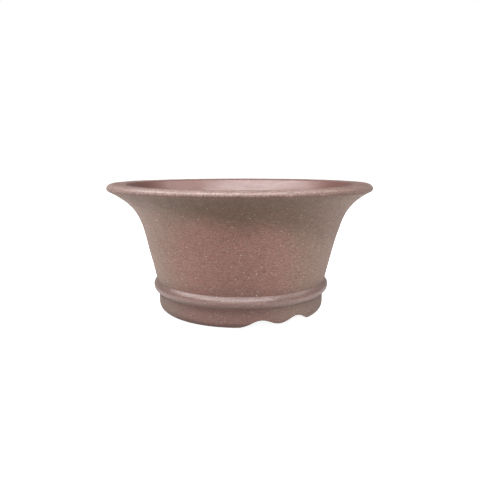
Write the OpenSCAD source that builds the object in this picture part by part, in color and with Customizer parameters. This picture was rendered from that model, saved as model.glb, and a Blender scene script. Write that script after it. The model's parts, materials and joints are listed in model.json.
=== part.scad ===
// Round bonsai pot: a flared wall with an out-turned rim, a raised band round
// the waist and a foot ring with two cloud-shaped cut-outs.
// Millimetres. +Z is up and the origin is the centre of the plane that the foot
// rests on. The cut-outs face -Y and +Y.
// The pot is luted together from clay pieces, which meet face to face.

/* [Overall] */
// Outer diameter across the rim
rim_d = 200; // [190:1:220]
// Height from the ground to the crest of the rim
pot_h = 97; // [92:1:115]

/* [Wall] */
// Outer diameter at the bottom of the wall
waist_d = 131.6; // [126:0.2:136]
// Thickness of the wall, measured level
wall_t = 6.9; // [6:0.1:8]
// How far the wall leans out for each millimetre of height
wall_lean = 0.231; // [0.2:0.001:0.26]
// How suddenly the outside turns out under the rim
flare_power = 7; // [5:0.5:8]
// How suddenly the inside opens out towards the rim
inner_power = 3; // [3:0.5:7]

/* [Rim] */
// Height of the rim ring, from its joint with the wall to its crest
rim_t = 7.5; // [7:0.1:10]
// Inner diameter of the rim's top face
rim_inner_d = 172; // [164:1:174]
// How far the top face falls towards the inside
rim_fall = 0.5; // [0.2:0.1:2]
// Rounding on top of the rim's edge, as height
rim_round_top = 3.5; // [2.5:0.1:4]
// Rounding under the rim's edge
rim_round_under = 2.2; // [1.5:0.1:2.5]

/* [Waist band] */
// Height of the band, which is also the thickness of the floor behind it
band_h = 8.6; // [7:0.1:11]
// How far the band stands out from the foot
band_out = 4; // [2.5:0.1:5]
// Height of the band's widest line, as a share of the band's height
band_crest = 0.5; // [0.35:0.05:0.65]

/* [Floor] */
// Diameter of the drain hole
drain_d = 24; // [14:1:40]
// Diameter of the holes for the wires that anchor a tree
wire_d = 5; // [3:0.5:7]
// Diameter of the circle that the wire holes lie on
wire_pcd = 76; // [60:1:90]
// Radius of the coil pressed into the corner between wall and floor
coil_r = 7; // [4:0.5:10]

/* [Foot ring] */
// Outer diameter of the foot ring
foot_d = 128.8; // [124:0.2:131]
// Height of the foot ring
foot_h = 15; // [12:0.5:20]
// Thickness of the foot ring
foot_t = 10.4; // [9:0.2:14]
// Rounding of the foot's outer bottom edge
foot_round = 5.3; // [3:0.1:6]
// Width of a cut-out at the ground
notch_w = 62; // [40:1:70]
// Height of a cut-out at its two lobes
notch_h = 6.2; // [4.5:0.1:8]
// Height of a cut-out at the cusp between its lobes
notch_cusp = 2.6; // [1:0.1:4]
// Distance between the tops of the two lobes
lobe_gap = 28; // [18:1:32]

/* [Hidden] */
$fn = 144;

clay_light = [0.58, 0.45, 0.42];
clay_mid = [0.53, 0.40, 0.37];
clay_dark = [0.47, 0.36, 0.34];

rim_r = rim_d / 2;
waist_r = waist_d / 2;
foot_r = foot_d / 2;
floor_z = foot_h;
wall_z = foot_h + band_h;
joint_z = pot_h - rim_t;

// The rim's edge: its widest point, and the angle where it meets the flare
nose_z = pot_h - rim_round_top;
nose_angle = 62;
under_start = -0.8 * nose_angle;
over_start = 12;
rim_round_reach = 1.3 * rim_round_top;
edge_r = rim_r - rim_round_under * (1 - cos(nose_angle));
edge_z = nose_z - rim_round_under * sin(nose_angle);

// The inside edge of the rim's top face
lip_in_r = rim_inner_d / 2;
lip_in_z = pot_h - rim_fall;

wall_steps = 14;
rim_steps = 4;
arc_steps = 8;
notch_steps = 48;
inner_foot_round = 2;
under_fillet = 3;
fillet_end = 75;
coil_start = -8;
coil_end = -84;

// Outer and inner radius of the wall at height z: a straight lean plus a flare
function lean_r(r0, z) = r0 + wall_lean * (z - wall_z);
function flared(r0, r1, z1, power, z) =
    lean_r(r0, z) + (r1 - lean_r(r0, z1)) * pow((z - wall_z) / (z1 - wall_z), power);
function outer_r(z) = flared(waist_r, edge_r, edge_z, flare_power, z);
function inner_r(z) = flared(waist_r - wall_t, lip_in_r, lip_in_z, inner_power, z);

// Points along one of the two curves, from height z0 to z1
function outer_curve(z0, z1, n) =
    [for (i = [0:n]) let (z = z0 + (z1 - z0) * i / n) [outer_r(z), z]];
function inner_curve(z0, z1, n) =
    [for (i = [0:n]) let (z = z0 + (z1 - z0) * i / n) [inner_r(z), z]];

// Points along an elliptical arc with half-axes rx and rz, from angle a0 to a1
function arc(cx, cz, rx, rz, a0, a1, n = arc_steps) =
    [for (i = [0:n]) let (a = a0 + (a1 - a0) * i / n) [cx + rx * cos(a), cz + rz * sin(a)]];

// Height of the cut-out above the ground, at a distance x from its middle
function notch_z(x) =
    let (u = abs(x), lobe = lobe_gap / 2)
    u < lobe
        ? notch_cusp + (notch_h - notch_cusp) * (1 - cos(180 * u / lobe)) / 2
        : notch_h * (1 + cos(180 * (u - lobe) / (notch_w / 2 - lobe))) / 2;

// The flared side of the bowl, standing on the floor and the band
module wall() {
    color(clay_mid)
        rotate_extrude()
            polygon(concat(
                outer_curve(wall_z, joint_z, wall_steps),
                inner_curve(joint_z, wall_z, wall_steps)
            ));
}

// The out-turned rim, with a rounded edge and a broad top face
module rim_lip() {
    color(clay_light)
        rotate_extrude()
            polygon(concat(
                outer_curve(joint_z, edge_z, rim_steps),
                arc(rim_r - rim_round_under, nose_z, rim_round_under, rim_round_under,
                    under_start, 0),
                arc(rim_r - rim_round_reach, nose_z, rim_round_reach, rim_round_top,
                    over_start, 90),
                inner_curve(lip_in_z, joint_z, rim_steps)
            ));
}

// The half-round band that covers the joint of foot, floor and wall
module waist_band() {
    crest_r = foot_r + band_out;
    crest_z = floor_z + band_h * band_crest;
    color(clay_light)
        rotate_extrude()
            polygon(concat(
                arc(foot_r, crest_z, band_out, crest_z - floor_z, -90, 0),
                arc(waist_r, crest_z, crest_r - waist_r, wall_z - crest_z, over_start, 90),
                [[foot_r, wall_z]]
            ));
}

// The floor, with its drain hole and the wire holes around it
module floor_slab() {
    color(clay_mid)
        difference() {
            translate([0, 0, floor_z])
                cylinder(h = band_h, r = foot_r);
            translate([0, 0, floor_z - 1])
                cylinder(h = band_h + 2, d = drain_d);
            for (a = [45:90:315])
                rotate([0, 0, a])
                    translate([wire_pcd / 2, 0, floor_z - 1])
                        cylinder(h = band_h + 2, d = wire_d);
        }
}

// The foot ring, with the same cut-out through its front and its back
module foot_ring() {
    inner = foot_r - foot_t;
    color(clay_dark)
        difference() {
            rotate_extrude()
                polygon(concat(
                    arc(foot_r - foot_round, foot_round, foot_round, foot_round, -90, 0),
                    [[foot_r, foot_h], [inner - under_fillet * (1 - cos(fillet_end)), foot_h]],
                    arc(inner - under_fillet, foot_h - under_fillet,
                        under_fillet, under_fillet, fillet_end, 0, 4),
                    arc(inner + inner_foot_round, inner_foot_round,
                        inner_foot_round, inner_foot_round, 180, 270, 4)
                ));
            rotate([90, 0, 0])
                linear_extrude(height = foot_d + 10, center = true)
                    polygon(concat(
                        [[-notch_w / 2, -1]],
                        [for (i = [0:notch_steps])
                            let (x = notch_w * (i / notch_steps - 0.5)) [x, notch_z(x)]],
                        [[notch_w / 2, -1]]
                    ));
        }
}

// The coil that is smoothed into the corner between the wall and the floor
module corner_coil() {
    color(clay_mid)
        rotate_extrude()
            polygon(concat(
                [[inner_r(wall_z), wall_z]],
                [[inner_r(wall_z + coil_r), wall_z + coil_r]],
                arc(inner_r(wall_z) - coil_r, wall_z + coil_r, coil_r, coil_r,
                    coil_start, coil_end),
                [[inner_r(wall_z) - coil_r * (1 - cos(coil_end)), wall_z]]
            ));
}

foot_ring();
floor_slab();
waist_band();
wall();
rim_lip();
corner_coil();
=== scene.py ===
import itertools
import json
import math

import bpy
import numpy as np
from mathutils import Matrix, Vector
from mathutils.geometry import delaunay_2d_cdt


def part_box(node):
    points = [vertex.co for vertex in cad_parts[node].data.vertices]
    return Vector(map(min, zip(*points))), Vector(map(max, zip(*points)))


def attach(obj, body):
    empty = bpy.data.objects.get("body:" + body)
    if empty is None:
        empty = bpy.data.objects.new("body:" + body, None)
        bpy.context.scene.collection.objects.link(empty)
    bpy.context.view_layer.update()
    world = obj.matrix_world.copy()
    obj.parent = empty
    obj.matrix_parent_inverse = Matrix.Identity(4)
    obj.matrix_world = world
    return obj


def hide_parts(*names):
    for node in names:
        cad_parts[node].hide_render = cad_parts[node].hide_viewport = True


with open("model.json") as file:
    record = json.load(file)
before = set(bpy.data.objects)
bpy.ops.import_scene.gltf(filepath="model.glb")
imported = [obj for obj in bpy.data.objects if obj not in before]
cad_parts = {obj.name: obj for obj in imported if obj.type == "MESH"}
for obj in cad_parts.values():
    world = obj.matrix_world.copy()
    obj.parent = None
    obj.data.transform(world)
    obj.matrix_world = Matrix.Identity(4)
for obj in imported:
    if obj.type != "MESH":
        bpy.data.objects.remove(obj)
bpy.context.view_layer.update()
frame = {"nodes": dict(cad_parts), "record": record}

MM = 0.001

# ---------------------------------------------------------------- sizes, from the frame


def radii(node, z):
    """Least and greatest radius of a CAD node at height z."""
    points = np.array([v.co for v in frame["nodes"][node].data.vertices])
    level = np.abs(points[:, 2] - z) < 0.05 * MM
    r = np.hypot(points[level, 0], points[level, 1])
    return r.min(), r.max()


def mount(name):
    """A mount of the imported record."""
    return next(m for m in frame["record"]["mounts"] if m["name"] == name)


foot_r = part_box("foot_ring")[1][0]
floor_z, wall_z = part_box("floor_slab")[0][2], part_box("floor_slab")[1][2]
joint_z, pot_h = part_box("rim_lip")[0][2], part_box("rim_lip")[1][2]
band_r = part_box("waist_band")[1][0]
rim_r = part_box("rim_lip")[1][0]
coil_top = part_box("corner_coil")[1][2]
wall_in_r, waist_r = radii("wall", wall_z)
drain_r = mount("drain_hole")["dims"]["r_mm"] * MM
wire_r = mount("wire_holes")["dims"]["hole_r_mm"] * MM
wire_ring_r = mount("wire_holes")["dims"]["pcd_mm"] * MM / 2

# The wall leans out by WALL_LEAN of its height, and flares by a power of it under the rim.
WALL_LEAN = 0.231
FLARE_POWER = 7
INNER_POWER = 3

# The rim: its widest point, its rounding above and below that, and its top face
ROUND_TOP = 3.5 * MM
ROUND_REACH = 4.6 * MM
ROUND_UNDER = 2.2 * MM
NOSE_ANGLE = math.radians(62)
LIP_IN_R = 86 * MM
RIM_FALL = 0.5 * MM
LIP_IN_ROUND = 0.8 * MM
# How far the upper wall is set aside to the right as it is looked at, and the rim to the left
WALL_ASIDE = 0.45 * MM
RIM_ASIDE = 0.9 * MM
# How much higher the rim's right end is than its middle
RIM_TILT = 0.1 * MM
# How far the rim dips where it faces the view, at its widest point and at its crest
NOSE_DIP = 0.4 * MM
CREST_DIP = 1.2 * MM
# Height of the rim's coarse relief, which is worked by hand
RIM_COARSE = 0.055 * MM
nose_z = pot_h - ROUND_TOP
edge_r = rim_r - ROUND_UNDER * (1 - math.cos(NOSE_ANGLE))
edge_z = nose_z - ROUND_UNDER * math.sin(NOSE_ANGLE)
lip_in_z = pot_h - RIM_FALL

# The foot: the rounding of its bottom edges, the fillet under the floor and the cut-outs
FOOT_ROUND = 5.3 * MM
FOOT_IN_ROUND = 2 * MM
FOOT_FILLET = 3 * MM
CUT_EDGE = 0.9 * MM
foot_in_r = radii("foot_ring", floor_z - FOOT_FILLET)[0]
# Width of a cut-out at the ground, its height at the two lobes and at the cusp, and the lobes' distance
NOTCH_W = 62 * MM
NOTCH_H = 6.2 * MM
NOTCH_CUSP = 2.6 * MM
LOBE_GAP = 28 * MM

# Height of the band's widest line, as a share of the band's height
BAND_CREST = 0.5

# How much the edges of the floor's holes are rounded
HOLE_ROUND = 1.1 * MM

# How many corners the rings, the coil, the floor's edge, the drain hole and a wire hole have
TURNS = 800
COIL_TURNS = 480
FLOOR_TURNS = 480
DRAIN_TURNS = 160
WIRE_TURNS = 64

# The direction that the pot is looked at from, against -Y
CAMERA_TURN = math.radians(-25.3)


def from_view(right, towards, up):
    """A point given by the camera's right, the way towards the camera, and up."""
    s, c = math.sin(CAMERA_TURN), math.cos(CAMERA_TURN)
    return Vector((right * c + towards * s, right * s - towards * c, up))


# ---------------------------------------------------------------- relief


def lattice(i, seed):
    """A repeatable number from -1 to 1 for each whole-number point."""
    h = i[..., 0] * 73856093 ^ i[..., 1] * 19349663 ^ i[..., 2] * 83492791 ^ seed * 2654435761
    h = (h ^ (h >> 13)) * 1274126177 & 0xFFFFFFFF
    h = (h ^ (h >> 16)) * 668265263 & 0xFFFFFFFF
    return h / 0x7FFFFFFF - 1


def wobble(p, size, seed):
    """Smooth noise from -1 to 1 whose lumps have that size in x, y and z."""
    q = p / np.array(size)
    i = np.floor(q).astype(np.int64)
    f = q - i
    f = f * f * (3 - 2 * f)
    total = 0
    for corner in itertools.product((0, 1), repeat=3):
        c = np.array(corner)
        weight = np.prod(np.where(c == 1, f, 1 - f), axis=-1)
        total = total + weight * lattice(i + c, seed)
    return total


def clay_relief(p, rings=0.05, lumps=0.16, grit=0.03):
    """How far the clay stands out at points p. The heights of its slow lumps, of the level lines that
    turning leaves and of its grit are in millimetres."""
    slow = wobble(p, (0.036, 0.036, 0.026), 1) + 0.5 * wobble(p, (0.015, 0.015, 0.011), 2)
    turned = wobble(p, (0.030, 0.030, 0.0024), 3) + 0.6 * wobble(p, (0.012, 0.012, 0.0011), 4)
    grains = wobble(p, (0.0016, 0.0016, 0.0013), 5) + 0.7 * wobble(p, (0.0009, 0.0009, 0.0008), 6)
    return (lumps * slow + rings * turned + grit * grains) * MM


def smooth(t):
    """0 below 0, 1 above 1 and a smooth step between."""
    t = np.clip(t, 0, 1)
    return t * t * (3 - 2 * t)


def fired(p):
    """The slight warp of the whole pot: its upper wall and its rim are set a little aside, and the rim
    dips where it faces the view."""
    s, c = math.sin(CAMERA_TURN), math.cos(CAMERA_TURN)
    x, y, z = p[..., 0], p[..., 1], p[..., 2]
    rim = smooth((z - 0.8 * pot_h) / (0.15 * pot_h))
    wall = np.exp(-(((z - 0.68 * pot_h) / (0.11 * pot_h)) ** 2))
    aside = WALL_ASIDE * wall - RIM_ASIDE * rim
    front = np.clip((x * s - y * c) / np.maximum(np.hypot(x, y), MM), 0, 1)
    lift = RIM_TILT * (z / pot_h) ** 3 * (x * c + y * s) / rim_r
    dip = NOSE_DIP * smooth((z - 0.62 * pot_h) / (0.34 * pot_h))
    dip = dip + (CREST_DIP - NOSE_DIP) * smooth((z - nose_z) / ROUND_TOP)
    dip = dip * front**1.6
    return p + np.stack([aside * c, aside * s, lift - dip], axis=-1)


# ---------------------------------------------------------------- turned pieces


def make_piece(name, node, points, faces, sharp=None):
    """A mesh object on the pot's body that stands for a CAD node."""
    mesh = bpy.data.meshes.new(name)
    mesh.from_pydata(points.tolist(), [], faces)
    mesh.polygons.foreach_set("use_smooth", np.ones(len(mesh.polygons), bool))
    if sharp is not None:
        ends = np.zeros(len(mesh.edges) * 2, np.int64)
        mesh.edges.foreach_get("vertices", ends)
        ends = ends.reshape(-1, 2)
        mesh.edges.foreach_set("use_edge_sharp", sharp[ends].all(axis=1))
    mesh.update()
    piece = bpy.data.objects.new(name, mesh)
    bpy.context.collection.objects.link(piece)
    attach(piece, "root")
    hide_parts(node)
    return piece


def turned(name, node, runs, turns=TURNS):
    """A ring-shaped piece. Each run is (r, z, relief): rows of radii and heights, one value a row or one
    for each turn as well, and the relief of its surface, or None where another piece hides it. The runs
    follow the outline round once, up its outer side, and each ends where the next begins."""
    angle = np.arange(turns) * math.tau / turns
    rows, sharp = [], []
    for r, z, relief in runs:
        r = np.broadcast_to(r if np.ndim(r) == 2 else np.asarray(r)[:, None], (len(r), turns))
        z = np.broadcast_to(z if np.ndim(z) == 2 else np.asarray(z)[:, None], (len(z), turns))
        p = np.stack([r * np.cos(angle), r * np.sin(angle), z], axis=-1)
        if relief is None:
            rows.append(p[1:-1])
            sharp.append(np.zeros(len(p) - 2, bool))
            continue
        along = np.gradient(p, axis=0)
        around = np.roll(p, -1, axis=1) - np.roll(p, 1, axis=1)
        normal = np.cross(around, along)
        normal /= np.linalg.norm(normal, axis=-1, keepdims=True)
        rows.append(p + normal * relief(p)[..., None])
        edge = np.zeros(len(p), bool)
        edge[[0, -1]] = True
        sharp.append(edge)
    p = fired(np.concatenate(rows))
    count = len(p)
    k, j = np.meshgrid(np.arange(count), np.arange(turns), indexing="ij")
    k1, j1 = (k + 1) % count, (j + 1) % turns
    corners = [k * turns + j, k * turns + j1, k1 * turns + j1, k1 * turns + j]
    faces = np.stack(corners, axis=-1).reshape(-1, 4).tolist()
    return make_piece(name, node, p.reshape(-1, 3), faces, np.repeat(np.concatenate(sharp), turns))


def spaced(start, end, n, fine=0.12):
    """n + 1 numbers from start to end, with a narrow first and last step so that a joint shades cleanly."""
    steps = np.ones(n)
    steps[[0, -1]] = fine
    at = np.concatenate([[0], np.cumsum(steps)])
    return start + (end - start) * at / at[-1]


def flared(z, r0, r1, z1, power):
    """Radius at height z of a side that leans out from r0 and then flares to r1 at height z1."""
    lean = r0 + WALL_LEAN * (z - wall_z)
    lean_end = r0 + WALL_LEAN * (z1 - wall_z)
    return lean + (r1 - lean_end) * ((z - wall_z) / (z1 - wall_z)) ** power


def outer_side(z):
    return flared(z, waist_r, edge_r, edge_z, FLARE_POWER)


def inner_side(z):
    return flared(z, wall_in_r, LIP_IN_R, lip_in_z, INNER_POWER)


def arc(r, z, half_r, half_z, start, end, n):
    """Radii and heights along an elliptical arc, with angles in degrees."""
    a = np.radians(np.linspace(start, end, n + 1))
    return r + half_r * np.cos(a), z + half_z * np.sin(a)


def curve(*points, n=8):
    """Radii and heights along a Bezier curve with these control points."""
    t = np.linspace(0, 1, n + 1)[:, None]
    c = np.array(points, float)[:, None]
    while len(c) > 1:
        c = c[:-1] * (1 - t) + c[1:] * t
    return c[0][:, 0], c[0][:, 1]


def joined(*parts):
    """One run of radii and heights from stretches that meet."""
    r = np.concatenate([parts[0][0]] + [p[0][1:] for p in parts[1:]])
    z = np.concatenate([parts[0][1]] + [p[1][1:] for p in parts[1:]])
    return r, z


def straight(r0, z0, r1, z1, n=1):
    return np.linspace(r0, r1, n + 1), np.linspace(z0, z1, n + 1)


def make_wall():
    up = spaced(wall_z, joint_z, 84)
    down = spaced(joint_z, wall_z, 34)
    return turned("bowl_wall", "wall", [
        (outer_side(up), up, clay_relief),
        (*straight(outer_side(joint_z), joint_z, inner_side(joint_z), joint_z, 2), None),
        (inner_side(down), down, lambda p: clay_relief(p, rings=0.09, lumps=0.2)),
        (*straight(inner_side(wall_z), wall_z, outer_side(wall_z), wall_z, 2), None),
    ])


def make_rim():
    up = spaced(joint_z, edge_z, 6)
    down = spaced(lip_in_z - LIP_IN_ROUND, joint_z, 7)
    inner_top = (inner_side(down[0]), down[0])
    under = arc(rim_r - ROUND_UNDER, nose_z, ROUND_UNDER, ROUND_UNDER, -math.degrees(NOSE_ANGLE), 0, 7)
    over = arc(rim_r - ROUND_REACH, nose_z, ROUND_REACH, ROUND_TOP, 0, 90, 14)
    crest_r = rim_r - ROUND_REACH
    face_in_r = LIP_IN_R + 0.7 * MM
    face_in_z = lip_in_z + 0.1 * MM
    face = curve((crest_r, pot_h), (crest_r - 3 * MM, pot_h), (face_in_r, face_in_z), n=14)
    corner = curve((face_in_r, face_in_z), (LIP_IN_R, lip_in_z - 0.1 * MM), inner_top, n=7)
    outside = joined((outer_side(up), up), under, over, face, corner, (inner_side(down), down))

    def relief(p):
        """Coarser than the wall: the rim is finished by hand."""
        coarse = wobble(p, (0.0032, 0.0032, 0.0022), 11) + wobble(p, (0.0017, 0.0017, 0.0014), 12)
        above_edge = smooth((p[..., 2] - edge_z) / (2 * MM))
        past_lip = smooth((np.hypot(p[..., 0], p[..., 1]) - LIP_IN_R) / (2 * MM))
        fine = clay_relief(p, rings=0.03, lumps=0.14, grit=0.02)
        return fine + above_edge * past_lip * RIM_COARSE * coarse

    return turned("out_turned_rim", "rim_lip", [
        (*outside, relief),
        (*straight(inner_side(joint_z), joint_z, outer_side(joint_z), joint_z, 2), None),
    ])


def make_band():
    crest_z = floor_z + BAND_CREST * (wall_z - floor_z)
    low = arc(foot_r, crest_z, band_r - foot_r, crest_z - floor_z, -90, 0, 16)
    high = curve(
        (band_r, crest_z),
        (band_r + 0.1 * MM, crest_z + 1.6 * MM),
        (waist_r + 1.2 * MM, wall_z - 1.3 * MM),
        (waist_r, wall_z),
        n=18,
    )
    outside = joined(low, high)
    return turned("waist_band_coil", "waist_band", [
        (*outside, lambda p: clay_relief(p, rings=0.02, lumps=0.12, grit=0.02)),
        (*straight(waist_r, wall_z, foot_r, wall_z, 2), None),
        (*straight(foot_r, wall_z, foot_r, floor_z, 2), None),
    ])


def notch_z(x):
    """Height of a cut-out at a distance x from its middle: two lobes with a cusp between them."""
    u, lobe = np.abs(x), LOBE_GAP / 2
    inner = NOTCH_CUSP + (NOTCH_H - NOTCH_CUSP) * (1 - np.cos(math.pi * u / lobe)) / 2
    outer = NOTCH_H * (1 + np.cos(math.pi * (u - lobe) / (NOTCH_W / 2 - lobe))) / 2
    return np.where(u < lobe, inner, np.where(u < NOTCH_W / 2, outer, 0))


def make_foot():
    """The ring's outline changes with the angle, where the cut-outs lift its bottom."""
    angle = np.arange(TURNS) * math.tau / TURNS
    cos = np.cos(angle)

    def cut(round_r, r_at_round):
        """Radius and height at which a rounded bottom edge meets the cut-out."""
        r = np.full(TURNS, r_at_round(0))
        for _ in range(6):
            lift = notch_z(r * cos)
            r = r_at_round(np.minimum(lift, round_r))
        return r, lift

    def outer_edge(z):
        return foot_r - FOOT_ROUND + np.sqrt(FOOT_ROUND**2 - (FOOT_ROUND - z) ** 2)

    def inner_edge(z):
        return foot_in_r + FOOT_IN_ROUND - np.sqrt(FOOT_IN_ROUND**2 - (FOOT_IN_ROUND - z) ** 2)

    out_r, out_lift = cut(FOOT_ROUND, outer_edge)
    in_r, in_lift = cut(FOOT_IN_ROUND, inner_edge)

    def side(radius_at, round_r, lift, n):
        """Rows up one side from its cut edge, close together over the rounding."""
        t = np.linspace(0, 1, n + 1)[:, None] ** 1.5
        z = lift + CUT_EDGE + (floor_z - lift - CUT_EDGE) * t
        return radius_at(np.minimum(z, round_r)), z

    side_r, side_z = side(outer_edge, FOOT_ROUND, out_lift, 26)
    back_r, back_z = side(inner_edge, FOOT_IN_ROUND, in_lift, 20)
    fillet = np.clip((back_z - (floor_z - FOOT_FILLET)) / FOOT_FILLET, 0, 1)
    back_r = back_r - FOOT_FILLET * (1 - np.sqrt(1 - fillet**2))

    across = np.linspace(0, 1, 19)[:, None]
    base_r = (in_r + CUT_EDGE) + (out_r - in_r - 2 * CUT_EDGE) * across
    base_z = notch_z(base_r * cos)

    def corner(p0, p1, p2, n=5):
        t = np.linspace(0, 1, n + 1)[1:-1, None]
        return [p0[i] * (1 - t) ** 2 + 2 * p1[i] * t * (1 - t) + p2[i] * t * t for i in (0, 1)]

    out_corner = corner((base_r[-1], base_z[-1]), (out_r, out_lift), (side_r[0], side_z[0]))
    in_corner = corner((back_r[0], back_z[0]), (in_r, in_lift), (base_r[0], base_z[0]))
    r = np.concatenate([back_r[::-1], in_corner[0], base_r, out_corner[0], side_r])
    z = np.concatenate([back_z[::-1], in_corner[1], base_z, out_corner[1], side_z])

    def relief(p):
        return clay_relief(p, rings=0.03, lumps=0.14)

    return turned("foot_ring_cut", "foot_ring", [
        (r, z, relief),
        (*straight(foot_r, floor_z, r[0, 0], floor_z, 3), None),
    ])


def make_coil():
    """The coil's face curves from the floor up into the wall."""
    toe_r = wall_in_r - (coil_top - wall_z)
    face = curve(
        (inner_side(coil_top) - 0.1 * MM, coil_top),
        (inner_side(wall_z + 1.5 * MM) - 1.2 * MM, wall_z + 1.2 * MM),
        (toe_r, wall_z + 0.1 * MM),
        n=20,
    )
    back = spaced(wall_z, coil_top, 3, 1)
    return turned("corner_coil_smoothed", "corner_coil", [
        (*face, lambda p: clay_relief(p, rings=0.05)),
        (*straight(face[0][-1], face[1][-1], inner_side(wall_z), wall_z, 3), None),
        (*joined((inner_side(back), back), ([inner_side(coil_top), face[0][0]], [coil_top, coil_top])), None),
    ], COIL_TURNS)


# ---------------------------------------------------------------- the floor, a plate with holes


def make_floor():
    """Both faces are triangulated round the holes, whose edges are rounded, and joined by their walls."""
    holes = [(0, 0, drain_r, DRAIN_TURNS)]
    for quarter in range(4):
        a = math.radians(45 + 90 * quarter)
        holes.append((wire_ring_r * math.cos(a), wire_ring_r * math.sin(a), wire_r, WIRE_TURNS))
    points, edges = [], []

    def circle(cx, cy, r, n, closed):
        first = len(points)
        a = np.arange(n) * math.tau / n
        points.extend(zip(cx + r * np.cos(a), cy + r * np.sin(a)))
        if closed:
            edges.extend((first + i, first + (i + 1) % n) for i in range(n))
        return first

    rings = [(circle(0, 0, foot_r, FLOOR_TURNS, True), FLOOR_TURNS)]
    for cx, cy, r, n in holes:
        rings.append((circle(cx, cy, r, n, True), n))
        # Circles round a hole, close together where its edge is rounded
        for away in (0.12, 0.3, 0.55, 0.9, 1.4):
            circle(cx, cy, r + away * MM, n, False)
    # Points between them on a triangular grid, whose rows lie 0.866 of a step apart
    step = 1.5 * MM
    reach = int(foot_r / step) + 2
    for i, j in itertools.product(range(-reach, reach), repeat=2):
        x, y = (i + 0.5 * (j % 2)) * step, j * step * 0.866
        clear = all(math.hypot(x - cx, y - cy) > r + 2.2 * MM for cx, cy, r, n in holes)
        if clear and math.hypot(x, y) < foot_r - 0.8 * MM:
            points.append((x, y))
    flat, _, triangles, *_ = delaunay_2d_cdt([Vector(p) for p in points], edges, [], 0, 1e-7)
    flat = np.array([tuple(p) for p in flat])

    def in_plate(t):
        x, y = flat[list(t)].mean(axis=0)
        return all(math.hypot(x - cx, y - cy) > r for cx, cy, r, n in holes)

    triangles = [t for t in triangles if in_plate(t)]
    from_edge = np.min([np.hypot(flat[:, 0] - cx, flat[:, 1] - cy) - r for cx, cy, r, n in holes], axis=0)
    within = np.clip(HOLE_ROUND - from_edge, 0, HOLE_ROUND)
    dip = HOLE_ROUND - np.sqrt(HOLE_ROUND**2 - within**2)

    def face(z, sign):
        """One face's points: sunk a little inside its edge, with turning rings and relief."""
        p = np.column_stack([flat, np.full(len(flat), z)])
        from_axis = np.hypot(*flat.T)
        along_axis = np.column_stack([np.zeros(len(flat)), np.zeros(len(flat)), from_axis])
        rings_of = 0.07 * wobble(along_axis, (1, 1, 0.0026), 21)
        inside = np.clip((foot_r - from_axis) / (6 * MM), 0, 1)
        p[:, 2] -= sign * (dip + (0.1 - rings_of) * inside * MM)
        p[:, 2] += sign * clay_relief(p, rings=0, lumps=0.1) * inside
        return p

    top, bottom = face(wall_z, 1), face(floor_z, -1)
    n = len(flat)
    faces = [list(t) for t in triangles] + [[i + n for i in reversed(t)] for t in triangles]
    all_points = [top, bottom]
    extra = 2 * n
    levels = 7
    for index, (first, size) in enumerate(rings):
        upper, lower = top[first:first + size], bottom[first:first + size]
        between = []
        for level in range(1, levels):
            t = level / levels
            p = lower + (upper - lower) * t
            if index:
                cx, cy, r, _ = holes[index - 1]
                out = p[:, :2] - (cx, cy)
                p[:, :2] += out / r * wobble(p, (0.004, 0.004, 0.004), 30)[:, None] * 0.1 * MM
            between.append(p)
        all_points.extend(between)
        columns = [[n + first + i for i in range(size)]]
        for level in range(levels - 1):
            columns.append([extra + level * size + i for i in range(size)])
        columns.append([first + i for i in range(size)])
        extra += (levels - 1) * size
        for low, high in zip(columns, columns[1:]):
            for i in range(size):
                quad = [low[i], low[(i + 1) % size], high[(i + 1) % size], high[i]]
                faces.append(quad[::-1] if index else quad)
    sharp = np.zeros(extra, bool)
    sharp[rings[0][0]:rings[0][0] + rings[0][1]] = True
    sharp[n + rings[0][0]:n + rings[0][0] + rings[0][1]] = True
    return make_piece("floor_plate", "floor_slab", fired(np.concatenate(all_points)), faces, sharp)


# ---------------------------------------------------------------- materials


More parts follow.
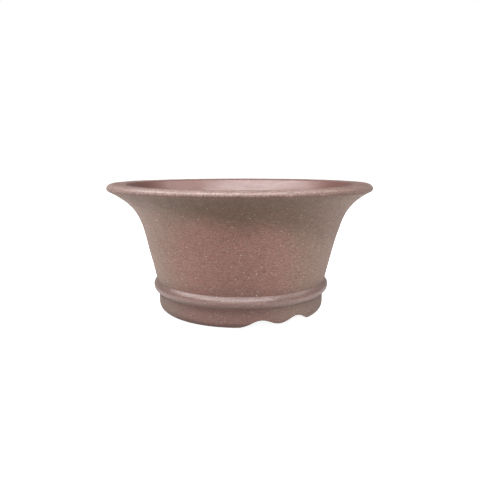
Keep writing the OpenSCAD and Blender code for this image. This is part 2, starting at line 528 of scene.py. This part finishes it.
class Tree:
    """Short calls for building a node tree."""

    def __init__(self, tree):
        self.tree = tree

    def put(self, socket, value):
        if isinstance(value, bpy.types.NodeSocket):
            self.tree.links.new(value, socket)
        elif value is not None:
            socket.default_value = value

    def node(self, kind, settings=(), **inputs):
        made = self.tree.nodes.new(kind)
        for key, value in dict(settings).items():
            setattr(made, key, value)
        for key, value in inputs.items():
            self.put(made.inputs[key.replace("_", " ")], value)
        return made

    def math(self, operation, a, b=None, c=None, clamp=False):
        made = self.node("ShaderNodeMath", {"operation": operation, "use_clamp": clamp})
        for socket, value in zip(made.inputs, (a, b, c)):
            self.put(socket, value)
        return made.outputs[0]

    def mix_number(self, amount, a, b):
        made = self.node("ShaderNodeMix", {"data_type": "FLOAT"})
        for key, value in ((0, amount), (2, a), (3, b)):
            self.put(made.inputs[key], value)
        return made.outputs[0]

    def mix(self, amount, a, b):
        made = self.node("ShaderNodeMix", {"data_type": "RGBA"})
        for key, value in ((0, amount), (6, a), (7, b)):
            self.put(made.inputs[key], value)
        return made.outputs[2]

    def scaled(self, vector, by, shift=(0, 0, 0)):
        made = self.node("ShaderNodeMapping", Vector=vector, Scale=by, Location=shift)
        return made.outputs[0]

    def noise(self, vector, scale, detail=2.0, roughness=0.5):
        made = self.node("ShaderNodeTexNoise", Vector=vector, Scale=scale, Detail=detail, Roughness=roughness)
        return made.outputs[0]

    def ramp(self, value, low, high, to_low=0.0, to_high=1.0):
        made = self.node("ShaderNodeMapRange", {"interpolation_type": "SMOOTHSTEP"})
        for socket, v in zip(made.inputs, (value, low, high, to_low, to_high)):
            self.put(socket, v)
        return made.outputs[0]

    def dots(self, vector, cells, radius, share):
        """1 inside round dots. There are that many cells a metre, the radius is in cells, and share is how
        many of the cells have a dot."""
        made = self.node("ShaderNodeTexVoronoi", Vector=vector, Scale=cells)
        pick = self.node("ShaderNodeSeparateColor", Color=made.outputs["Color"])
        size = self.math("MULTIPLY_ADD", pick.outputs[1], radius * 0.7, radius * 0.5)
        inside = self.ramp(self.math("DIVIDE", made.outputs["Distance"], size), 0.55, 1.0, 1.0, 0.0)
        return self.math("MULTIPLY", inside, self.math("LESS_THAN", pick.outputs[0], share))


def colour(r, g, b):
    return (r, g, b, 1.0)


def distance_to(t, at, place):
    away = t.node("ShaderNodeVectorMath", {"operation": "DISTANCE"})
    t.put(away.inputs[0], at)
    t.put(away.inputs[1], tuple(place))
    return away.outputs["Value"]


def distance_along(t, at, way):
    """How far a point lies along a direction."""
    dot = t.node("ShaderNodeVectorMath", {"operation": "DOT_PRODUCT"})
    t.put(dot.inputs[0], at)
    t.put(dot.inputs[1], tuple(way))
    return dot.outputs["Value"]


def spot(t, at, place, near, far, amount):
    """A soft round patch about a place: the amount up to the near distance, and 0 from the far one."""
    return t.ramp(distance_to(t, at, place), near, far, amount, 0.0)


def clay_zones(t, at):
    """The height, and masks from 0 to 1 for parts of the wall and rim: painted shade under the rim, strongest
    on the side towards the view; inside, the cavity; top, the rim above its widest line, with a ragged lower
    edge; face, the level part of that, which is painted darker as shade; and a line of painted shade along
    its lower edge."""
    split = t.node("ShaderNodeSeparateXYZ", Vector=at)
    level = split.outputs[2]
    # The cavity is what lies within the inner side's radius, round the rim's shifted centre.
    centre = from_view(-RIM_ASIDE, 0, 0)
    east = t.math("SUBTRACT", split.outputs[0], centre.x)
    north = t.math("SUBTRACT", split.outputs[1], centre.y)
    level_part = t.node("ShaderNodeCombineXYZ", X=east, Y=north).outputs[0]
    across = t.node("ShaderNodeVectorMath", {"operation": "LENGTH"}, Vector=level_part)
    up = t.math("MAXIMUM", t.math("SUBTRACT", level, wall_z), 0.0)
    share = t.math("POWER", t.math("DIVIDE", up, lip_in_z - wall_z), INNER_POWER)
    flare = LIP_IN_R - wall_in_r - WALL_LEAN * (lip_in_z - wall_z)
    side = t.math("MULTIPLY_ADD", share, flare, t.math("MULTIPLY_ADD", up, WALL_LEAN, wall_in_r))
    beyond = t.math("SUBTRACT", across.outputs["Value"], side)
    allowed = t.ramp(level, lip_in_z - 7 * MM, lip_in_z - 1 * MM, 2.0 * MM, 0.1 * MM)
    inside = t.ramp(t.math("SUBTRACT", beyond, allowed), 0.0, 0.5 * MM, 1.0, 0.0)
    ragged = t.math("MULTIPLY_ADD", t.noise(at, 420.0, 3.0, 0.7), 2.4 * MM, level)
    front = distance_along(t, at, from_view(-0.18, 0.98, 0))
    right = distance_along(t, at, from_view(1, 0, 0))
    # Painted shade under the rim: its cloudy lower edge reaches lower at the right, and it is strongest on
    # the side towards the view.
    cloud = t.math("MULTIPLY_ADD", t.noise(at, 34.0, 3.0, 0.55), 26 * MM, t.math("ADD", level, -13 * MM))
    tilted = t.math("MULTIPLY_ADD", right, 0.12, cloud)
    under_rim_shade = t.ramp(tilted, joint_z - 30 * MM, joint_z - 8 * MM)
    under_rim_shade = t.math("MULTIPLY", under_rim_shade, t.ramp(front, 30 * MM, 92 * MM, 0.40, 0.87))
    ragged = t.math("MULTIPLY_ADD", t.ramp(front, 0.0, rim_r), NOSE_DIP, ragged)
    top = t.ramp(ragged, nose_z + 0.1 * MM, nose_z + 1.5 * MM)
    top = t.math("MULTIPLY", top, t.math("SUBTRACT", 1.0, inside))
    broken = t.math("MULTIPLY_ADD", t.noise(at, 640.0, 2.0, 0.6), 2.4 * MM, across.outputs["Value"])
    face = t.ramp(broken, rim_r - 4.6 * MM, rim_r - 2.4 * MM, 1.0, 0.0)
    # A line of painted shade along the rim's lower edge, where its rounding turns from the light
    lip_edge_shade = t.ramp(ragged, nose_z - 1.7 * MM, nose_z - 0.5 * MM, 0.0, 0.75)
    return level, under_rim_shade, inside, top, face, lip_edge_shade


def flashes(t, at):
    """Where the kiln's flame has reddened the clay: soft spots round the pot, with cloudy edges."""
    spots = [
        (from_view(-6 * MM, 72 * MM, 45 * MM), 61 * MM),
        (from_view(-12 * MM, 68 * MM, 12 * MM), 50 * MM),
        (from_view(-66 * MM, -38 * MM, 50 * MM), 58 * MM),
        (from_view(46 * MM, -60 * MM, 34 * MM), 46 * MM),
    ]
    cloud = t.math("MULTIPLY_ADD", t.noise(at, 42.0, 3.0, 0.6), 26 * MM, -13 * MM)
    total = None
    for place, reach in spots:
        away = t.math("ADD", distance_to(t, at, place), cloud)
        flash = t.ramp(away, reach * 0.42, reach, 1.0, 0.0)
        total = flash if total is None else t.math("MAXIMUM", total, flash)
    return total


# The clay's colours, apart from the red and the olive that each piece's body has
PALE_GRAIN = colour(0.56, 0.44, 0.37)
IRON_GRAIN = colour(0.09, 0.055, 0.045)
# Painted shade, on the band's front towards the view and in the crease just above the band
LOW_SHADE = colour(0.150, 0.078, 0.062)
# Painted shade under the rim
UNDER_RIM_SHADE = colour(0.112, 0.073, 0.049)
# Painted shade along the rim's lower edge
LIP_EDGE_SHADE = colour(0.165, 0.090, 0.072)
# The rim's rounded edge: pinker and mottled, and painted lighter as a highlight
NOSE_HIGHLIT_DARK, NOSE_HIGHLIT_LIGHT = colour(0.165, 0.093, 0.077), colour(0.335, 0.215, 0.190)
# The rim's level top: pinker and mottled, and painted darker as shade
FACE_SHADED_DARK, FACE_SHADED_LIGHT = colour(0.125, 0.064, 0.050), colour(0.300, 0.175, 0.145)
# Painted shade on the rim's front edge, at its ends
RIM_END_SHADE = colour(0.130, 0.070, 0.048)
# The cavity's colour, and painted shade deep inside at the left
INSIDE, INSIDE_SHADE = colour(0.185, 0.073, 0.058), colour(0.100, 0.036, 0.028)

# How rough the clay is on the rim's top and inside
ROUGH_TOP = 0.46
ROUGH_INSIDE = 0.38

# How strongly it shines: under the rim, on the rim's edge and face, where the rim's edge is painted with
# shade, and inside, also where it is painted with shade
SHINE_UNDER_RIM_SHADE = 0.25
SHINE_NOSE = 1.0
SHINE_FACE = 0.55
SHINE_RIM_END_SHADE = 0.0
SHINE_INSIDE = 0.95
SHINE_INSIDE_SHADE = 0.35

# Height of the grit in the bump, in metres
GRIT_HEIGHT = 0.00010

# How much of its own colour each kind of grain shows, in the order that they are laid over the body
DUST, IRON, DASH, SCRATCH, SAND = 0.30, 0.45, 0.26, 0.30, 0.70


def clay(name, red, olive, rough=0.66, specks=1.0, streaks=1.0, grit=1.0, specular=0.5, zones=False):
    """Unglazed stoneware: reddish flashes on an olive-brown body, fine grain, pale sand and dust, dark
    iron grit, and pale dashes and scratches where the tool dragged a grain, with painted shade on the
    band's front. With zones, the cavity is smoother and darker, with painted shade deep inside at the
    left; the rim's top is pinker and mottled, its rounded edge painted lighter as a highlight, and its level
    face, lower edge and ends painted with shade; and painted shade falls under the rim and just above
    the band."""
    material = bpy.data.materials.new(name)
    material.use_nodes = True
    t = Tree(material.node_tree)
    shader = material.node_tree.nodes["Principled BSDF"]
    at = t.node("ShaderNodeTexCoord").outputs["Object"]

    # Patches, grains and marks: dots() gets cells a metre, a radius in cells and the share with a dot.
    patches = t.ramp(t.noise(t.scaled(at, (1, 1, 2.2)), 190.0, 3.0, 0.55), 0.3, 0.7)
    grain = t.noise(at, 1150.0, 2.0, 0.7)
    drag = t.noise(t.scaled(at, (1, 1, 5.0)), 330.0, 3.0, 0.7)
    sand = t.dots(at, 380.0, 0.18, 0.60 * specks)
    dust = t.dots(t.scaled(at, (1, 1, 2.4), (3, 5, 7)), 780.0, 0.36, 0.75 * specks)
    iron = t.dots(t.scaled(at, (1, 1, 1), (9, 2, 4)), 430.0, 0.22, 0.30)
    dash = t.dots(t.scaled(at, (1, 1, 4.0), (1, 8, 3)), 330.0, 0.26, 0.50 * streaks)
    # Scratches are long dots, bent by noise, and most are where the pot is handled.
    bent = t.node("ShaderNodeVectorMath", {"operation": "MULTIPLY_ADD"})
    t.put(bent.inputs[0], t.node("ShaderNodeTexNoise", Vector=at, Scale=60.0, Detail=1.0).outputs["Color"])
    t.put(bent.inputs[1], (6 * MM, 6 * MM, 6 * MM))
    t.put(bent.inputs[2], at)
    scratch = t.dots(t.scaled(bent.outputs[0], (1, 1, 7.0), (4, 6, 2)), 170.0, 0.26, 0.14 * streaks)
    handled = t.ramp(distance_to(t, at, from_view(48 * MM, 58 * MM, 74 * MM)), 18 * MM, 50 * MM, 2.4, 0.8)
    scratch = t.math("MULTIPLY", scratch, handled)

    base = t.mix(t.math("MULTIPLY_ADD", flashes(t, at), 0.8, t.math("MULTIPLY", patches, 0.2)), olive, red)
    # Painted shade on the band's front, on the side towards the view
    band_front_shade = spot(t, at, from_view(0, 66 * MM, 20 * MM), 10 * MM, 46 * MM, 0.36)
    base = t.mix(band_front_shade, base, LOW_SHADE)
    smooth_rough, speck_share, gloss = rough, 1.0, specular
    if zones:
        level, under_rim_shade, inside, top, face, lip_edge_shade = clay_zones(t, at)
        # Painted shade under the rim
        base = t.mix(under_rim_shade, base, UNDER_RIM_SHADE)
        # Painted shade in the crease just above the band
        low = t.ramp(level, wall_z, wall_z + 9 * MM, 0.38, 0.0)
        base = t.mix(low, base, LOW_SHADE)
        # Painted shade along the rim's lower edge
        base = t.mix(lip_edge_shade, base, LIP_EDGE_SHADE)
        # The rim's top is pinker and mottled; its rounded edge is painted lighter as a highlight and its
        # level face darker as shade.
        mottle = t.ramp(t.noise(at, 800.0, 3.0, 0.7), 0.36, 0.64)
        highlit_nose = t.mix(mottle, NOSE_HIGHLIT_DARK, NOSE_HIGHLIT_LIGHT)
        flat = t.mix(mottle, FACE_SHADED_DARK, FACE_SHADED_LIGHT)
        base = t.mix(top, base, t.mix(face, highlit_nose, flat))
        # The rim's front edge is painted with shade at the right and a little at the left, its face less so.
        right_end_shade = spot(t, at, from_view(80 * MM, 58 * MM, 93 * MM), 14 * MM, 62 * MM, 0.62)
        left_end_shade = spot(t, at, from_view(-82 * MM, 56 * MM, 93 * MM), 6 * MM, 34 * MM, 0.24)
        edge = t.math("MULTIPLY", t.math("MAXIMUM", top, lip_edge_shade), t.math("MULTIPLY_ADD", face, -0.6, 1.0))
        rim_end_shade = t.math("MULTIPLY", t.math("ADD", right_end_shade, left_end_shade), edge)
        base = t.mix(rim_end_shade, base, RIM_END_SHADE)
        # Painted shade deep inside the cavity at the left
        inside_left_shade = spot(t, at, from_view(-84 * MM, 0, 90 * MM), 6 * MM, 66 * MM, 0.70)
        base = t.mix(inside, base, t.mix(inside_left_shade, INSIDE, INSIDE_SHADE))
        smooth_rough = t.mix_number(inside, t.mix_number(top, rough, ROUGH_TOP), ROUGH_INSIDE)
        speck_share = t.math("MULTIPLY_ADD", inside, -0.8, t.math("MULTIPLY_ADD", under_rim_shade, -0.45, 1.0))
        on_rim = t.mix_number(face, SHINE_NOSE, SHINE_FACE)
        gloss = t.mix_number(top, t.mix_number(under_rim_shade, specular, SHINE_UNDER_RIM_SHADE), on_rim)
        in_bowl = t.mix_number(inside_left_shade, SHINE_INSIDE, SHINE_INSIDE_SHADE)
        gloss = t.mix_number(inside, t.mix_number(rim_end_shade, gloss, SHINE_RIM_END_SHADE), in_bowl)

    shade = t.math("ADD", t.ramp(grain, 0.25, 0.75, -0.25, 0.25), t.ramp(drag, 0.3, 0.7, -0.20, 0.22))
    bright = t.math("MULTIPLY_ADD", t.math("MULTIPLY", shade, speck_share), streaks, 1.0)
    base = t.node("ShaderNodeVectorMath", {"operation": "SCALE"}, Vector=base, Scale=bright).outputs[0]
    laid = [
        (dust, DUST, PALE_GRAIN),
        (iron, IRON, IRON_GRAIN),
        (dash, DASH, PALE_GRAIN),
        (scratch, SCRATCH, PALE_GRAIN),
        (sand, SAND, PALE_GRAIN),
    ]
    for grains, amount, tint in laid:
        shown = t.math("MULTIPLY", t.math("MULTIPLY", grains, amount), speck_share)
        base = t.mix(shown, base, tint)
    t.put(shader.inputs["Base Color"], base)

    uneven = t.math("ADD", t.ramp(patches, 0.0, 1.0, -0.04, 0.04), t.ramp(grain, 0.3, 0.7, -0.04, 0.05))
    t.put(shader.inputs["Roughness"], t.math("ADD", smooth_rough, uneven))

    height = t.math("ADD", t.math("MULTIPLY", grain, 0.9), t.math("MULTIPLY", drag, 0.8))
    height = t.math("ADD", height, t.math("MULTIPLY", t.math("ADD", sand, dash), 0.5))
    height = t.math("SUBTRACT", height, t.math("MULTIPLY", iron, 0.5))
    height = t.math("MULTIPLY", height, speck_share)
    bump = t.node("ShaderNodeBump", Strength=1.0, Distance=GRIT_HEIGHT * grit, Height=height)
    t.put(shader.inputs["Normal"], bump.outputs[0])
    t.put(shader.inputs["Specular IOR Level"], gloss)
    shader.inputs["Sheen Weight"].default_value = 0.08
    shader.inputs["Sheen Roughness"].default_value = 0.5
    return material


def finish_piece(piece, material):
    piece.data.materials.append(material)


RED = colour(0.262, 0.125, 0.099)
OLIVE = colour(0.220, 0.136, 0.101)

wall_clay = clay("clay_wall_speckled", RED, OLIVE, zones=True, specular=0.6)
rim_clay = clay("clay_rim_mottled", RED, OLIVE, grit=2.2, zones=True, specular=0.6)
band_clay = clay(
    "clay_band_burnished",
    red=colour(0.232, 0.129, 0.111),
    olive=colour(0.200, 0.114, 0.095),
    rough=0.34,
    specks=0.9,
    streaks=0.7,
    grit=0.9,
    specular=1.0,
)
foot_clay = clay(
    "clay_foot",
    red=colour(0.224, 0.120, 0.104),
    olive=colour(0.214, 0.144, 0.115),
    specks=0.8,
    streaks=0.5,
)
floor_clay = clay(
    "clay_floor",
    red=colour(0.20, 0.115, 0.095),
    olive=colour(0.17, 0.105, 0.085),
    specks=0.5,
    streaks=0.6,
    rough=0.55,
)

finish_piece(make_wall(), wall_clay)
finish_piece(make_rim(), rim_clay)
finish_piece(make_band(), band_clay)
finish_piece(make_foot(), foot_clay)
finish_piece(make_coil(), floor_clay)
finish_piece(make_floor(), floor_clay)

# ---------------------------------------------------------------- studio


# The stage's paper is grey in front of the pot, where it would light the foot, and white to the sides.
STAGE_HALF = 6.0
PAPER_GREY = colour(0.40, 0.40, 0.40)
PAPER_WHITE = colour(0.92, 0.92, 0.92)
# What the camera alone sees the paper and the world give off, so that the background is white
PAPER_SEEN = 0.93
WORLD_SEEN = 0.8
WORLD_LIGHT = 0.20


def make_stage():
    floor = bpy.data.meshes.new("stage_floor")
    half = STAGE_HALF
    corners = [(-half, -half, 0), (half, -half, 0), (half, half, 0), (-half, half, 0)]
    floor.from_pydata(corners, [], [(0, 1, 2, 3)])
    stage = bpy.data.objects.new("stage_floor", floor)
    bpy.context.collection.objects.link(stage)
    material = bpy.data.materials.new("stage_paper")
    material.use_nodes = True
    t = Tree(material.node_tree)
    shader = material.node_tree.nodes["Principled BSDF"]
    at = t.node("ShaderNodeTexCoord").outputs["Object"]
    side = t.math("ABSOLUTE", t.math("ADD", distance_along(t, at, from_view(1, 0, 0)), 0.015))
    side = t.ramp(side, 0.025, 0.070)
    away = t.node("ShaderNodeVectorMath", {"operation": "LENGTH"}, Vector=at).outputs["Value"]
    white = t.math("MULTIPLY", side, t.ramp(away, 0.13, 0.30, 1.0, 0.55))
    t.put(shader.inputs["Base Color"], t.mix(white, PAPER_GREY, PAPER_WHITE))
    shader.inputs["Roughness"].default_value = 0.9
    shader.inputs["Specular IOR Level"].default_value = 0.1
    shader.inputs["Emission Color"].default_value = colour(1, 1, 1)
    seen = t.node("ShaderNodeLightPath").outputs["Is Camera Ray"]
    t.put(shader.inputs["Emission Strength"], t.math("MULTIPLY", seen, PAPER_SEEN))
    floor.materials.append(material)


# The camera's distance from the pot's axis and its height, in metres, its tilt down and its lens
CAMERA_AWAY = 0.369
CAMERA_UP = 0.1109
CAMERA_TILT = math.radians(9.135)
CAMERA_YAW = math.radians(0.095)
SENSOR_MM = 36
LENS_MM = 35.39


def make_camera():
    data = bpy.data.cameras.new("photo_camera")
    data.sensor_width = SENSOR_MM
    data.lens = LENS_MM
    data.clip_start = 0.01
    camera = bpy.data.objects.new("photo_camera", data)
    camera.location = from_view(0, CAMERA_AWAY, CAMERA_UP)
    camera.rotation_euler = (math.pi / 2 - CAMERA_TILT, 0, CAMERA_TURN + CAMERA_YAW)
    bpy.context.collection.objects.link(camera)
    bpy.context.scene.camera = camera


def softbox(name, place, size, power, aim=None, shape="RECTANGLE", glossy=True, diffuse=True):
    """An area light aimed at the pot's middle, or at a given point. Not glossy: it isn't mirrored in the
    clay. Not diffuse: it is only mirrored."""
    data = bpy.data.lights.new(name, "AREA")
    data.shape = shape
    data.size, data.size_y = size
    data.energy = power
    light = bpy.data.objects.new(name, data)
    light.location = place
    way = (aim or Vector((0, 0, 0.06))) - place
    light.rotation_euler = way.to_track_quat("-Z", "Y").to_euler()
    light.visible_camera = False
    light.visible_glossy = glossy
    light.visible_diffuse = diffuse
    bpy.context.collection.objects.link(light)


def make_lights():
    softbox("key_above", from_view(-0.09, 0.46, 0.95), (1.5, 0.5), 18.0)
    softbox("top_left", from_view(-0.62, -0.08, 0.78), (0.5, 0.5), 4.0, diffuse=False)
    softbox("top_right", from_view(0.58, -0.12, 0.74), (0.5, 0.5), 2.2, diffuse=False)
    softbox("fill_front", from_view(-0.15, 1.3, 0.45), (1.6, 1.2), 8.0)
    # Light that the floor throws back up: name, place to the right and towards the view, width, watts
    glows = [
        ("glow_far_left", (-0.60, -0.12), 0.8, 5.0),
        ("glow_far_right", (0.60, -0.12), 0.8, 5.0),
        ("glow_near_left", (-0.19, -0.02), 0.2, 0.12),
        ("glow_near_right", (0.19, -0.02), 0.2, 0.06),
    ]
    for name, (right, towards), wide, power in glows:
        place = from_view(right, towards, 0.004)
        softbox(name, place, (wide, wide), power, place + Vector((0, 0, 1)), "ELLIPSE", glossy=False)
    world = bpy.data.worlds.new("studio")
    world.use_nodes = True
    t = Tree(world.node_tree)
    background = world.node_tree.nodes["Background"]
    background.inputs["Color"].default_value = colour(1, 1, 1)
    seen = t.node("ShaderNodeLightPath").outputs["Is Camera Ray"]
    t.put(background.inputs["Strength"], t.math("MULTIPLY_ADD", seen, WORLD_SEEN, WORLD_LIGHT))
    bpy.context.scene.world = world


make_stage()
make_camera()
make_lights()
bpy.context.scene.view_settings.view_transform = "Standard"
